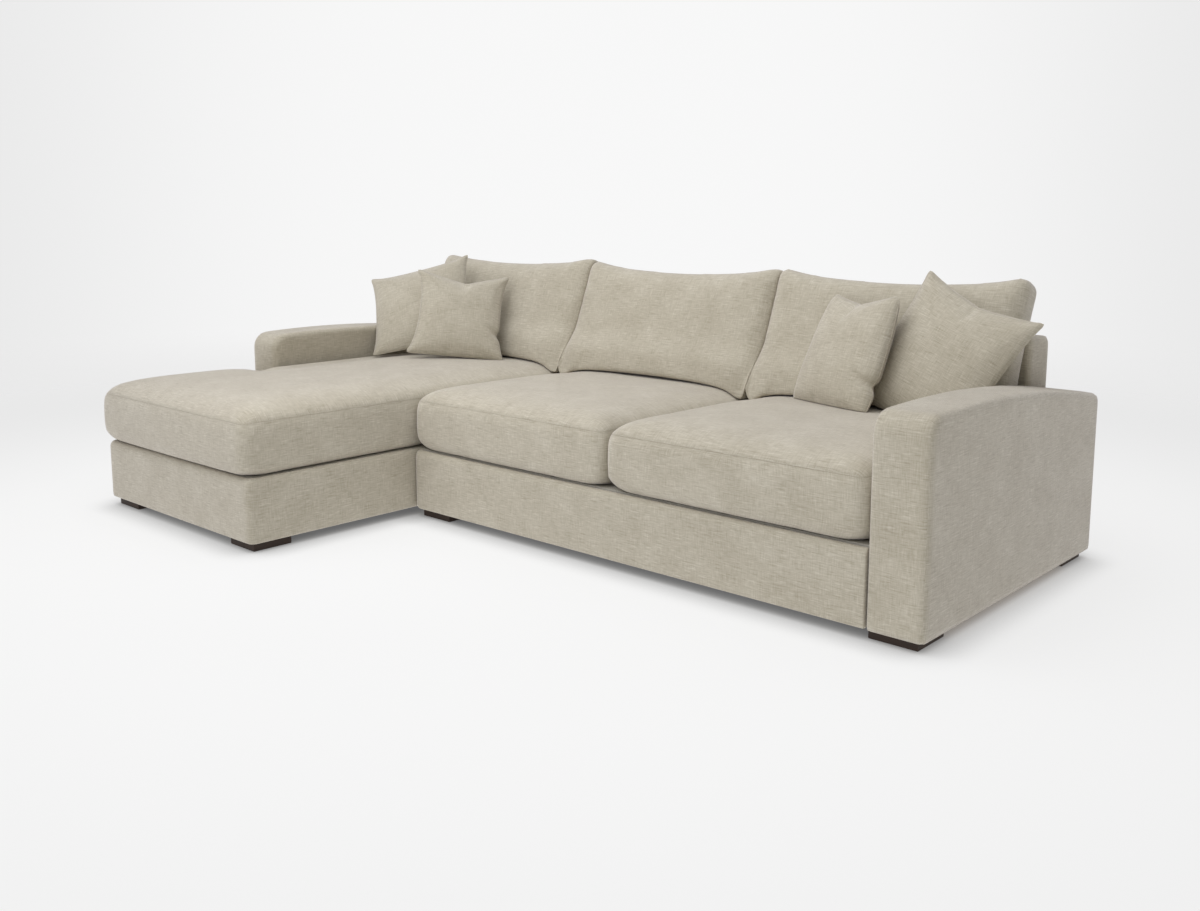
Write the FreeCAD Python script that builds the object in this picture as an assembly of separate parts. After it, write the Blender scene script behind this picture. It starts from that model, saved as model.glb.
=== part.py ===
import FreeCAD, Part
import math
import os

V = FreeCAD.Vector

# Chaise sofa in two bolted sections with loose cushions, all sizes in millimetres.
# Working axes: X to the sitter's left from the joint of the sections, Y back, Z up.

# Overall sizes
seat_run = 1930.0
chaise_width = 1038.0
arm_width = 176.0
sofa_depth = 1203.0
chaise_reach = 698.0
floor_gap = 31.0
deck_height = 260.0
back_height = 740.0
back_depth = 163.0
section_gap = 0.5

# Arms: one long arc over the top, a rolled front and a small rear corner
arm_peak_height = 642.0
arm_peak_y = 266.0
arm_rear_height = 557.0
arm_front_roll = 65.0
arm_rear_roll = 28.0
arm_edge_round = 20.0
arm_padding = 12.0
chaise_arm_step = 42.0
arm_panel = 6.0
arm_post = 45.0
arm_rail = 45.0
arm_board = 15.0
arm_board_skirt = 75.0
arm_fit = 0.5

# Base: padded borders round a timber box
border = 30.0
border_round = 25.0
rail = 25.0
cross_drop = 15.0
corner_block = 100.0
corner_block_height = 60.0
dust_cloth = 1.5
deck_pad = 25.0

# Woven elastic webbing
web_width = 50.0
web_thick = 1.8
web_gap = 0.3
web_flat = 3.0
seat_web_pitch = 145.0
back_web_pitch = 150.0

# Upholstered back
back_padding = 22.0
back_outside = 12.0
back_cap = 25.0
back_end = 14.0
back_round = 28.0
back_end_round = 10.0
back_post = 28.0
back_rail_height = 85.0
back_lid = 28.0

# Feet and fixings
foot_side = 148.0
foot_inset = 27.0
foot_chamfer = 2.0
bolt = 8.0
bolt_head = 18.0
bolt_head_thick = 6.0
bolt_fit = 0.2
foot_bolt_in_foot = 22.0
foot_bolt_in_frame = 34.0
nut = 20.0
nut_thick = 5.0
bolt_height = 130.0
bolt_from_end = 250.0

# Loose seat cushions; the back cushions meet over the same joint
seat_split = 972.0
cushion_gap = 0.6
cushion_rest = 0.3
side_gap = 1.0
seat_front = 5.0
chaise_overhang = 20.0
seat_thick = 190.0
seat_crown = 49.0
chaise_crown = 58.0
cushion_corner = 42.0
cushion_inner_corner = 10.0
corner_spread = 0.15
draw_in = 3.0
front_swell = 7.0

# Loose back cushions, leaning on the top edge of the back
back_lean = 21.6
back_cushion_thick = 110.0
back_cushion_crown = 30.0
back_cushion_height = 478.0
back_cushion_sag = 29.0
back_cushion_corner = 30.0
arm_ledge_overlap = 118.0
arm_ledge_gap = 4.0
back_seat_gap = 0.4

# Scatter cushions: side, half thickness, drawn-in sides
small_side = 412.0
small_half = 52.0
large_side = 475.0
large_half = 55.0
scatter_draw = 14.0
scatter_tip = 11.0
scatter_corner_limit = 0.42

# Scatter cushion places: across from an arm's inner face, out from the back,
# up from the crown, then turn, lean and roll in degrees
small_left_place = (376.9, 380.3, 192.4, 49.6, 32.4, -6.7)
large_left_place = (128.5, 383.2, 211.7, 31.9, 39.9, 16.4)
small_right_place = (539.9, 253.9, 190.9, -21.6, 23.1, 1.0)
large_right_place = (191.7, 230.9, 179.3, -3.6, 24.0, -20.1)

# Lower right corner of a scatter cushion, pressed in and up where it stands on the seat
no_tuck = (0.0, 0.0)
large_right_tuck = (22.1, 82.1)

# Places that several pieces share
chaise_left = -chaise_width
chaise_arm_in = chaise_left + arm_width
sofa_right = seat_run + arm_width
chaise_front = -chaise_reach
chaise_arm_front = -chaise_arm_step
back_front = sofa_depth - back_depth
frame_foot = floor_gap + dust_cloth
web_layer = (web_thick + web_gap) / 2.0
rail_top = deck_height - deck_pad - web_thick - web_layer - web_gap / 2.0
web_mid = rail_top + web_thick / 2.0
deck_under = deck_height - deck_pad
frame_back = sofa_depth - back_outside
seat_rear_rail = back_front + back_padding
cushion_foot = deck_height + cushion_rest
seat_seam = cushion_foot + seat_thick
seat_peak = seat_seam + seat_crown
chaise_peak = seat_seam + chaise_crown

centre_x = (chaise_left - chaise_overhang + sofa_right) / 2.0
centre_y = (chaise_front - chaise_overhang + sofa_depth) / 2.0

os.makedirs("parts", exist_ok=True)


def box(x0, x1, y0, y1, z0, z1):
    return Part.makeBox(x1 - x0, y1 - y0, z1 - z0, V(x0, y0, z0))


def pin_x(x0, x1, y, z, diameter):
    return Part.makeCylinder(diameter / 2.0, x1 - x0, V(x0, y, z), V(1, 0, 0))


def pin_z(z0, z1, x, y, diameter):
    return Part.makeCylinder(diameter / 2.0, z1 - z0, V(x, y, z0), V(0, 0, 1))


def save(name, solids):
    shape = solids[0] if len(solids) == 1 else Part.makeCompound(solids)
    shape = shape.copy()
    shape.translate(V(-centre_x, -centre_y, 0))
    shape.exportStep("parts/" + name + ".step")


def edges_on(shape, test):
    found = []
    for edge in shape.Edges:
        points = [edge.valueAt(edge.FirstParameter), edge.valueAt(edge.LastParameter)]
        if all(test(p) for p in points):
            found.append(edge)
    return found


def near(a, b):
    return abs(a - b) < 0.01


# Side profile of an arm, drawn in by inset on every side but the bottom
def arm_profile(x, front, inset, bottom):
    drop = arm_peak_height - arm_rear_height
    run = sofa_depth - arm_peak_y
    radius = (run * run + drop * drop) / (2.0 * drop)
    mid_z = arm_peak_height - radius
    radius = radius - inset
    y0 = front + inset
    y1 = sofa_depth - inset
    roll_f = arm_front_roll - inset
    roll_r = arm_rear_roll - inset

    def roll_centre(y, roll):
        rise = math.sqrt((radius - roll) ** 2 - (y - arm_peak_y) ** 2)
        return V(x, y, mid_z + rise)

    main = V(x, arm_peak_y, mid_z)
    front_c = roll_centre(y0 + roll_f, roll_f)
    rear_c = roll_centre(y1 - roll_r, roll_r)
    front_dir = (front_c - main).normalize()
    rear_dir = (rear_c - main).normalize()
    front_t = main + front_dir * radius
    rear_t = main + rear_dir * radius
    top_mid = main + (front_dir + rear_dir).normalize() * radius
    front_mid = front_c + (front_dir + V(0, -1, 0)).normalize() * roll_f
    rear_mid = rear_c + (rear_dir + V(0, 1, 0)).normalize() * roll_r
    a = V(x, y0, bottom)
    b = V(x, y0, front_c.z)
    c = V(x, y1, rear_c.z)
    d = V(x, y1, bottom)
    edges = [
        Part.makeLine(a, b),
        Part.Arc(b, front_mid, front_t).toShape(),
        Part.Arc(front_t, top_mid, rear_t).toShape(),
        Part.Arc(rear_t, rear_mid, c).toShape(),
        Part.makeLine(c, d),
        Part.makeLine(d, a),
    ]
    return Part.Face(Part.Wire(edges))


def arm_solid(x0, x1, front, inset, bottom):
    return arm_profile(x0, front, inset, bottom).extrude(V(x1 - x0, 0, 0))


# One arm: upholstered shell, side panels, posts, rails, arched top board, bolts
def make_arm(name, x0, x1, front, inner_x, rail_in):
    shell = arm_solid(x0, x1, front, 0.0, floor_gap)
    on_side = edges_on(shell, lambda p: near(p.x, x0))
    on_side += edges_on(shell, lambda p: near(p.x, x1))
    round_edges = []
    for edge in on_side:
        ends = [edge.valueAt(edge.FirstParameter), edge.valueAt(edge.LastParameter)]
        if not all(near(p.z, floor_gap) for p in ends):
            round_edges.append(edge)
    shell = shell.makeFillet(arm_edge_round, round_edges)
    cavity = arm_solid(x0 + arm_padding, x1 - arm_padding, front, arm_padding, floor_gap)
    shell = shell.cut(cavity)
    skin = arm_padding + arm_fit
    a0 = x0 + skin
    a1 = x1 - skin
    panel_1 = arm_solid(a0, a0 + arm_panel, front, skin, floor_gap)
    panel_2 = arm_solid(a1 - arm_panel, a1, front, skin, floor_gap)
    b0 = a0 + arm_panel
    b1 = a1 - arm_panel
    y0 = front + skin
    y1 = sofa_depth - skin
    skirt = arm_rear_height - arm_board_skirt
    hoop = arm_solid(b0, b1, front, skin, skirt)
    hoop = hoop.cut(arm_solid(b0, b1, front, skin + arm_board, skirt))
    post_1 = box(b0, b1, y0, y0 + arm_post, floor_gap, skirt)
    post_2 = box(b0, b1, y1 - arm_post, y1, floor_gap, skirt)
    low = box(b0, b1, y0 + arm_post, y1 - arm_post, floor_gap, floor_gap + arm_rail)
    high = box(b0, b1, y0 + arm_post, y1 - arm_post, skirt - arm_rail, skirt)
    # Bolts from inside the base, through its rail into a flanged nut in the arm
    bolts = []
    toward = 1.0 if inner_x == x0 else -1.0
    panel_in = inner_x + toward * (skin + arm_panel)
    for y in (front + bolt_from_end, back_front - bolt_from_end):
        head = pin_x(*sorted((rail_in, rail_in - toward * bolt_head_thick)), y, bolt_height, bolt_head)
        shank_end = panel_in + toward * nut_thick
        shank = pin_x(*sorted((rail_in, shank_end)), y, bolt_height, bolt)
        collar = pin_x(*sorted((panel_in, shank_end)), y, bolt_height, nut)
        hole = pin_x(*sorted((rail_in, shank_end)), y, bolt_height, bolt + 2.0 * bolt_fit)
        bolts.append(head.fuse(shank))
        bolts.append(collar.cut(hole))
        shell = shell.cut(hole)
        panel_1 = panel_1.cut(hole)
        panel_2 = panel_2.cut(hole) if toward < 0 else panel_2
    save(name + "_arm_cover", [shell])
    save(name + "_arm_panels", [panel_1, panel_2])
    save(name + "_arm_posts", [bored(post_1), bored(post_2)])
    save(name + "_arm_rails", [bored(low), high])
    save(name + "_arm_top_board", [hoop])
    save(name + "_arm_bolts", bolts)


# Feet stand on the corners of each section, each on one bolt
def foot_centres(x_left, x_right, y_front):
    near_edge = foot_inset + foot_side / 2.0
    left = x_left + near_edge
    right = x_right - near_edge
    front = y_front + near_edge
    rear = sofa_depth - near_edge
    return [(left, front), (right, front), (left, rear), (right, rear)]


sofa_feet = foot_centres(0.0, sofa_right, 0.0)
chaise_feet = foot_centres(chaise_left, 0.0, chaise_front)
all_feet = sofa_feet + chaise_feet


def bored(solid):
    bounds = solid.BoundBox
    for x, y in all_feet:
        if bounds.XMin < x < bounds.XMax and bounds.YMin < y < bounds.YMax:
            top = floor_gap + foot_bolt_in_frame
            solid = solid.cut(pin_z(floor_gap - 1.0, top, x, y, bolt + 2.0 * bolt_fit))
    return solid


def make_feet(name, centres):
    feet = []
    bolts = []
    half = foot_side / 2.0
    for x, y in centres:
        foot = box(x - half, x + half, y - half, y + half, 0.0, floor_gap)
        foot = foot.makeChamfer(foot_chamfer, edges_on(foot, lambda p: near(p.z, 0.0)))
        low = floor_gap - foot_bolt_in_foot
        foot = foot.cut(pin_z(low, floor_gap + 1.0, x, y, bolt + 2.0 * bolt_fit))
        feet.append(foot)
        bolts.append(pin_z(low, floor_gap + foot_bolt_in_frame, x, y, bolt))
    save(name + "_feet", feet)
    save(name + "_foot_bolts", bolts)


# Straps that run along one axis and pass over and under the crossing straps
def strap_path(start, end, crossings, first_over):
    points = [(start, 0.0), (start + rail, 0.0)]
    half = web_width / 2.0 + web_flat
    over = first_over
    for c in crossings:
        level = web_layer if over else -web_layer
        points.append((c - half, level))
        points.append((c + half, level))
        over = not over
    points.append((end - rail, 0.0))
    points.append((end, 0.0))
    return points


def strap(points, along_x, place):
    t = web_thick / 2.0
    loop = [(p, web_mid + z + t) for p, z in points]
    loop += [(p, web_mid + z - t) for p, z in reversed(points)]
    half = web_width / 2.0
    if along_x:
        corners = [V(p, place - half, z) for p, z in loop]
        way = V(0, web_width, 0)
    else:
        corners = [V(place - half, p, z) for p, z in loop]
        way = V(web_width, 0, 0)
    return Part.Face(Part.makePolygon(corners + [corners[0]])).extrude(way)


def spread(low, high, pitch):
    count = max(2, int(round((high - low) / pitch)))
    step = (high - low) / count
    return [low + step * (i + 0.5) for i in range(count)]


def make_webbing(name, x_ends, y_ends, xs, ys, extra):
    lines = []
    for i, x in enumerate(xs):
        lines.append(strap(strap_path(y_ends[0], y_ends[1], ys, i % 2 == 0), False, x))
    rows = []
    for j, y in enumerate(ys):
        left = x_ends[0] if y < extra[1] else extra[0]
        rows.append(strap(strap_path(left, x_ends[1], xs, j % 2 == 1), True, y))
    save(name + "_webbing_front_to_back", lines)
    save(name + "_webbing_across", rows)


# Upholstered back: padded shell over a timber frame with its own webbing
def make_back(name, x0, x1, post_xs):
    top = back_height
    r = back_round
    y0 = back_front
    y1 = sofa_depth
    foot = deck_under + web_gap
    bend = r * (1.0 - math.sqrt(0.5))
    corners = [V(x0, y0, foot), V(x0, y0, top - r), V(x0, y0 + bend, top - bend)]
    corners += [V(x0, y0 + r, top), V(x0, y1 - r, top), V(x0, y1 - bend, top - bend)]
    corners += [V(x0, y1, top - r), V(x0, y1, floor_gap), V(x0, frame_back, floor_gap)]
    corners += [V(x0, frame_back, foot)]
    p = corners
    edges = [
        Part.makeLine(p[0], p[1]),
        Part.Arc(p[1], p[2], p[3]).toShape(),
        Part.makeLine(p[3], p[4]),
        Part.Arc(p[4], p[5], p[6]).toShape(),
        Part.makeLine(p[6], p[7]),
        Part.makeLine(p[7], p[8]),
        Part.makeLine(p[8], p[9]),
        Part.makeLine(p[9], p[0]),
    ]
    shell = Part.Face(Part.Wire(edges)).extrude(V(x1 - x0, 0, 0))
    ends = []
    for side in (x0, x1):
        for edge in edges_on(shell, lambda q, s=side: near(q.x, s)):
            spots = [edge.valueAt(edge.FirstParameter), edge.valueAt(edge.LastParameter)]
            flat = near(spots[0].z, spots[1].z) and spots[0].z < foot + 1.0
            hidden = all(near(q.y, frame_back) for q in spots)
            if not flat and not hidden:
                ends.append(edge)
    shell = shell.makeFillet(back_end_round, ends)
    inner_y = back_front + back_padding
    inner_top = top - back_cap
    shell = shell.cut(box(x0 + back_end, x1 - back_end, inner_y, frame_back, foot - 1.0, inner_top))
    save(name + "_back_cover", [shell])

    f0 = x0 + back_end
    f1 = x1 - back_end
    web_y = inner_y + arm_fit
    front_y = web_y + web_thick
    post_y = front_y + rail
    under_lid = inner_top - back_lid
    lower = foot + arm_fit
    posts = []
    for x in post_xs:
        posts.append(box(x, x + back_post, post_y, frame_back - rail, frame_foot, under_lid))
    save(name + "_back_posts", posts)
    rails = [box(f0, f1, front_y, frame_back, under_lid, inner_top)]
    rails.append(box(f0, f1, front_y, post_y, under_lid - back_rail_height, under_lid))
    rails.append(box(f0, f1, front_y, post_y, lower, lower + back_rail_height))
    rails.append(box(f0, f1, frame_back - rail, frame_back, under_lid - back_rail_height, under_lid))
    save(name + "_back_rails", rails)
    straps = []
    half = web_width / 2.0
    for x in spread(f0 + half, f1 - half, back_web_pitch):
        straps.append(box(x - half, x + half, web_y, front_y, lower + rail, under_lid - rail))
    save(name + "_back_webbing", straps)


# Closed outline with round corners and bowed sides, for the lofts of the cushions
def outline(points, radii, bows, place):
    count = len(points)
    starts = []
    ends = []
    mids = []
    for i in range(count):
        here = points[i]
        back = (points[i - 1] - here).normalize()
        ahead = (points[(i + 1) % count] - here).normalize()
        r = radii[i]
        starts.append(here + back * r)
        ends.append(here + ahead * r)
        mids.append(here + (back + ahead) * (r * (1.0 - math.sqrt(0.5))))
    edges = []
    for i in range(count):
        nxt = (i + 1) % count
        edges.append(Part.Arc(place(starts[i]), place(mids[i]), place(ends[i])).toShape())
        a = ends[i]
        b = starts[nxt]
        way = (b - a).normalize()
        out = V(way.y, -way.x, 0)
        middle = (a + b) * 0.5 + out * bows[i]
        if abs(bows[i]) < 0.05:
            edges.append(Part.makeLine(place(a), place(b)))
        else:
            edges.append(Part.Arc(place(a), place(middle), place(b)).toShape())
    return Part.Wire(edges)


# Corners of an outline in plan, with all its sides drawn in alike
def drawn_in(corners, inset):
    moved = []
    count = len(corners)
    for i in range(count):
        back = (corners[i] - corners[i - 1]).normalize()
        ahead = (corners[(i + 1) % count] - corners[i]).normalize()
        shift = V(-back.y, back.x, 0) + V(-ahead.y, ahead.x, 0)
        moved.append(corners[i] + shift * (inset / (1.0 + back.dot(ahead))))
    return moved


# Rise of a crown above its seam and bow of its sides, by the distance in from the edge
crown_steps = [(34.0, 0.44, 0.3), (80.0, 0.70, 0.3), (150.0, 0.89, 0.0), (250.0, 1.0, 0.0)]


# Box cushion on the base, from its corners in plan, anticlockwise seen from above
def seat_shape(corners, rounds, bows, crown):
    levels = [(0.0, 30.0, 0.2), (9.0, 12.0, 0.6), (30.0, 1.5, 1.0), (95.0, 0.0, 1.0)]
    levels += [(seat_thick - 28.0, 2.0, 1.0), (seat_thick, 10.0, 0.8)]
    levels += [(seat_thick + crown * h, s, bow) for s, h, bow in crown_steps]
    wires = []
    for height, inset, bow in levels:
        moved = drawn_in(corners, inset)
        radii = [r + corner_spread * inset for r in rounds]
        z = cushion_foot + height
        bent = [b * bow for b in bows]
        wires.append(outline(moved, radii, bent, lambda q, z=z: V(q.x, q.y, z)))
    return Part.makeLoft(wires, True, True)


# Back cushion in its own leaning plane: U across, W up the slope, thickness forward
def back_shape(u0, u1, ledge, foot_z):
    lean = math.radians(back_lean)
    up = V(0, math.sin(lean), math.cos(lean))
    out = V(0, -math.cos(lean), math.sin(lean))
    corner_c = V(0, back_front + back_round, back_height - back_round)
    rear = corner_c + out * (back_round + back_seat_gap)
    slope = math.tan(lean)
    rise = (foot_z - rear.z - back_cushion_thick * math.sin(lean)) / math.cos(lean)
    origin = rear + up * rise
    total = back_cushion_thick + back_cushion_crown
    t = back_cushion_thick
    c = back_cushion_crown
    levels = [(0.0, 26.0), (12.0, 8.0), (34.0, 0.0), (t - 24.0, 0.0), (t - 6.0, 5.0)]
    levels += [(t + 0.42 * c, 26.0), (t + 0.68 * c, 56.0), (t + 0.88 * c, 98.0), (total, 150.0)]
    wires = []
    for depth, inset in levels:
        low = max(t - depth, 0.0) * slope + inset
        high = back_cushion_height - inset
        left = u0 + inset
        right = u1 - inset
        r = back_cushion_corner + 0.25 * inset
        fade = max(0.0, 1.0 - inset / 150.0)
        sag = -back_cushion_sag * (0.35 + 0.65 * fade)
        arch = -16.0 * fade - 2.0
        side = -draw_in * fade - 0.3
        if ledge is None:
            pts = [V(left, low, 0), V(right, low, 0), V(right, high, 0), V(left, high, 0)]
            radii = [r, r, r, r]
            bows = [arch, side, sag, side]
        else:
            step_u, step_z, fall = ledge
            su = step_u + inset
            step_w = (step_z - foot_z) / math.cos(lean)
            sw = step_w + max(t - depth, 0.0) * (slope - fall) + inset
            pts = [V(su, low, 0), V(right, low, 0), V(right, high, 0)]
            pts += [V(left, high, 0), V(left, sw, 0), V(su, sw, 0)]
            radii = [r, r, r, r, r, cushion_inner_corner + 0.25 * inset]
            bows = [arch, side, sag, side, 0.0, 0.0]
        base = origin + out * depth
        wires.append(outline(pts, radii, bows, lambda q, b=base: b + V(q.x, 0, 0) + up * q.y))
    return Part.makeLoft(wires, True, True)


# Swell of a scatter cushion: share of half thickness, inset and corner as shares of the side
scatter_steps = [(0.24, 0.022, 0.09), (0.5, 0.075, 0.19), (0.75, 0.16, 0.235)]
scatter_steps += [(0.92, 0.26, 0.2), (1.0, 0.38, 0.1)]


# Knife-edge scatter cushion, square but for its tuck, with drawn-in sides and a soft belly
def scatter_shape(side, half, centre, turn, lean, roll, tuck):
    yaw = math.radians(turn)
    tilt = math.radians(lean)
    spin = math.radians(roll)
    out = V(math.sin(yaw) * math.cos(tilt), -math.cos(yaw) * math.cos(tilt), math.sin(tilt))
    level = V(math.cos(yaw), math.sin(yaw), 0)
    rise = out.cross(level)
    right = level * math.cos(spin) + rise * math.sin(spin)
    up = rise * math.cos(spin) - level * math.sin(spin)
    rows = [(-w, s, c) for w, s, c in reversed(scatter_steps)]
    rows += [(0.0, 0.0, scatter_tip / side)] + scatter_steps
    q = side / 2.0
    square = [V(-q, -q, 0), V(q - tuck[0], -q + tuck[1], 0), V(q, q, 0), V(-q, q, 0)]
    wires = []
    for w, s, c in rows:
        inset = s * side
        pts = drawn_in(square, inset)
        shortest = min((pts[i] - pts[i - 1]).Length for i in range(4))
        r = min(c * side, scatter_corner_limit * shortest)
        fade = 1.0 - s / scatter_steps[-1][1]
        bow = -scatter_draw * fade + 0.04 * (q - inset - r) * (1.0 - fade)
        base = centre + out * (w * half)
        wires.append(outline(pts, [r] * 4, [bow] * 4, lambda p, b=base: b + right * p.x + up * p.y))
    return Part.makeLoft(wires, True, True)


# Padded front border of a base, its outer edges round, cut from a deeper block
def front_border(x0, x1, y0, right_too):
    block = box(x0, x1, y0, y0 + 4.0 * border, floor_gap, deck_height)
    outer = edges_on(block, lambda p: near(p.y, y0) and near(p.z, deck_height))
    for x in (x0, x1) if right_too else (x0,):
        outer += edges_on(block, lambda p, x=x: near(p.x, x) and near(p.y, y0))
        outer += edges_on(block, lambda p, x=x: near(p.x, x) and near(p.z, deck_height))
    block = block.makeFillet(border_round, outer)
    return block.common(box(x0, x1, y0, y0 + border, floor_gap, deck_height)).Solids[0]


# Sofa section: base box
s0 = border
s1 = seat_run
rear_in = frame_back - rail
cross_top = rail_top - cross_drop
seat_rail_y = seat_rear_rail - rail
save("sofa_front_rail", [box(s0, s1, border, border + rail, frame_foot, rail_top)])
save("sofa_rear_rail", [box(s0, s1, rear_in, frame_back, frame_foot, rail_top)])


def drilled_rail(solid, places):
    for x0, x1, y in places:
        solid = solid.cut(pin_x(x0, x1, y, bolt_height, bolt + 2.0 * bolt_fit))
    return solid


link_ys = (bolt_from_end, back_front - bolt_from_end)
link_end = border + rail
sofa_left_rail = box(s0, s0 + rail, border + rail, rear_in, frame_foot, rail_top)
sofa_left_rail = drilled_rail(sofa_left_rail, [(s0 - 1.0, s0 + rail + 1.0, y) for y in link_ys])
sofa_right_rail = box(s1 - rail, s1, border + rail, rear_in, frame_foot, rail_top)
sofa_right_rail = drilled_rail(sofa_right_rail, [(s1 - rail - 1.0, s1 + 1.0, y) for y in link_ys])
save("sofa_side_rails", [sofa_left_rail, sofa_right_rail])

cross = [box(s0 + rail, s1 - rail, seat_rail_y, seat_rear_rail, frame_foot, rail_top)]
for share in (1.0 / 3.0, 2.0 / 3.0):
    x = s0 + (s1 - s0) * share
    cross.append(box(x, x + rail, border + rail, seat_rail_y, frame_foot, cross_top))
save("sofa_cross_rails", cross)

post_step = (s1 - s0) / 3.0
sofa_posts = [s0 + rail, s0 + post_step, s0 + 2.0 * post_step, s1 - rail - back_post]


def corner_blocks(spots):
    blocks = []
    for x, y in spots:
        high = frame_foot + corner_block_height
        blocks.append(bored(box(x, x + corner_block, y, y + corner_block, frame_foot, high)))
    return blocks


block_left = s0 + rail + back_post
block_right = s1 - rail - back_post - corner_block
block_front = border + rail
block_rear = rear_in - corner_block
spots = [(s0 + rail, block_front), (s1 - rail - corner_block, block_front)]
spots += [(block_left, block_rear), (block_right, block_rear)]
save("sofa_corner_blocks", corner_blocks(spots))

sofa_xs = spread(s0 + rail, s1 - rail, seat_web_pitch)
sofa_ys = spread(border + rail, seat_rail_y, seat_web_pitch)
no_step = (s0, sofa_depth)
make_webbing("sofa", (s0, s1), (border, seat_rear_rail), sofa_xs, sofa_ys, no_step)
save("sofa_deck", [box(s0, s1, border, back_front, deck_under, deck_height)])
dust = box(s0, s1, border, frame_back, floor_gap, frame_foot)
save("sofa_dust_cover", [bored(dust)])

save("sofa_border_front", [front_border(0.0, seat_run, 0.0, False)])
left_border = box(0.0, border, border, back_front, floor_gap, deck_height)
left_border = drilled_rail(left_border, [(-1.0, border + 1.0, y) for y in link_ys])
save("sofa_border_left", [left_border])
make_feet("sofa", sofa_feet)
make_back("sofa", section_gap, seat_run - section_gap, sofa_posts)
make_arm("sofa", seat_run, sofa_right, 0.0, seat_run, seat_run - rail)

# Chaise section: its base is wide in front of the arm and narrow beside it
c0 = chaise_left + border
c1 = -border
cn = chaise_arm_in
cf = chaise_front + border
step_y = chaise_arm_front - arm_fit
save("chaise_front_rail", [box(c0, c1, cf, cf + rail, frame_foot, rail_top)])
save("chaise_rear_rail", [box(cn, c1, rear_in, frame_back, frame_foot, rail_top)])
left_front = box(c0, c0 + rail, cf + rail, step_y, frame_foot, rail_top)
left_rear = box(cn, cn + rail, step_y, rear_in, frame_foot, rail_top)
chaise_link = (chaise_arm_front + bolt_from_end, back_front - bolt_from_end)
left_rear = drilled_rail(left_rear, [(cn - 1.0, cn + rail + 1.0, y) for y in chaise_link])
right_rail = box(c1 - rail, c1, cf + rail, rear_in, frame_foot, rail_top)
right_rail = drilled_rail(right_rail, [(c1 - rail - 1.0, c1 + 1.0, y) for y in link_ys])
save("chaise_side_rails", [left_front, left_rear, right_rail])

middle_y = (step_y + seat_rail_y) / 2.0
cross = [box(cn + rail, c1 - rail, seat_rail_y, seat_rear_rail, frame_foot, rail_top)]
cross.append(box(c0 + rail, c1 - rail, step_y - rail, step_y, frame_foot, cross_top))
cross.append(box(cn + rail, c1 - rail, middle_y, middle_y + rail, frame_foot, cross_top))
save("chaise_cross_rails", cross)

block_front = cf + rail
spots = [(c0 + rail, block_front), (c1 - rail - corner_block, block_front)]
spots += [(cn + rail + back_post, block_rear), (c1 - rail - back_post - corner_block, block_rear)]
save("chaise_corner_blocks", corner_blocks(spots))

chaise_xs = spread(cn + rail, c1 - rail, seat_web_pitch)
front_ys = spread(cf + rail, step_y - rail, seat_web_pitch)
rear_ys = spread(step_y, seat_rail_y, seat_web_pitch)
chaise_ys = front_ys + rear_ys
make_webbing("chaise", (c0, c1), (cf, seat_rear_rail), chaise_xs, chaise_ys, (cn, step_y))

deck = [V(c0, cf, deck_under), V(c1, cf, deck_under), V(c1, back_front, deck_under)]
deck += [V(cn, back_front, deck_under), V(cn, step_y, deck_under), V(c0, step_y, deck_under)]
deck = Part.Face(Part.makePolygon(deck + [deck[0]])).extrude(V(0, 0, deck_pad))
save("chaise_deck", [deck])
dust = [V(c0, cf, floor_gap), V(c1, cf, floor_gap), V(c1, frame_back, floor_gap)]
dust += [V(cn, frame_back, floor_gap), V(cn, step_y, floor_gap), V(c0, step_y, floor_gap)]
dust = Part.Face(Part.makePolygon(dust + [dust[0]])).extrude(V(0, 0, dust_cloth))
save("chaise_dust_cover", [bored(dust)])

save("chaise_border_front", [front_border(chaise_left, 0.0, chaise_front, True)])
right_border = box(c1, 0.0, cf, back_front, floor_gap, deck_height)
right_border = drilled_rail(right_border, [(c1 - 1.0, 1.0, y) for y in link_ys])
right_top = edges_on(right_border, lambda p: near(p.x, 0.0) and near(p.z, deck_height))
right_border = right_border.makeFillet(border_round, right_top)
save("chaise_border_right", [right_border])
left_border = box(chaise_left, c0, cf, step_y, floor_gap, deck_height)
left_top = edges_on(left_border, lambda p: near(p.x, chaise_left) and near(p.z, deck_height))
left_border = left_border.makeFillet(border_round, left_top)
save("chaise_border_left", [left_border])
make_feet("chaise", chaise_feet)
chaise_posts = [cn + rail, c1 - rail - back_post]
make_back("chaise", cn + section_gap, -section_gap, chaise_posts)
make_arm("chaise", chaise_left, chaise_arm_in, chaise_arm_front, chaise_arm_in, cn + rail)

# Bolts that join the two sections, head in the chaise, nut in the sofa
links = []
for y in link_ys:
    head = pin_x(-link_end - bolt_head_thick, -link_end, y, bolt_height, bolt_head)
    shank = pin_x(-link_end, link_end + nut_thick, y, bolt_height, bolt)
    collar = pin_x(link_end, link_end + nut_thick, y, bolt_height, nut)
    hole = pin_x(link_end, link_end + nut_thick, y, bolt_height, bolt + 2.0 * bolt_fit)
    links.append(head.fuse(shank))
    links.append(collar.cut(hole))
save("section_bolts", links)

# Seat cushions
rear_y = back_front - side_gap
right_x = seat_run - side_gap
bows = [front_swell, -draw_in, -draw_in, -draw_in]
rounds = [cushion_corner] * 4


def seat_corners(x0, x1, y0):
    return [V(x0, y0, 0), V(x1, y0, 0), V(x1, rear_y, 0), V(x0, rear_y, 0)]


left_seat = seat_corners(cushion_gap, seat_split - cushion_gap, -seat_front + front_swell)
right_seat = seat_corners(seat_split + cushion_gap, right_x, -seat_front + front_swell)
save("seat_cushion_left", [seat_shape(left_seat, rounds, bows, seat_crown)])
save("seat_cushion_right", [seat_shape(right_seat, rounds, bows, seat_crown)])

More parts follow.
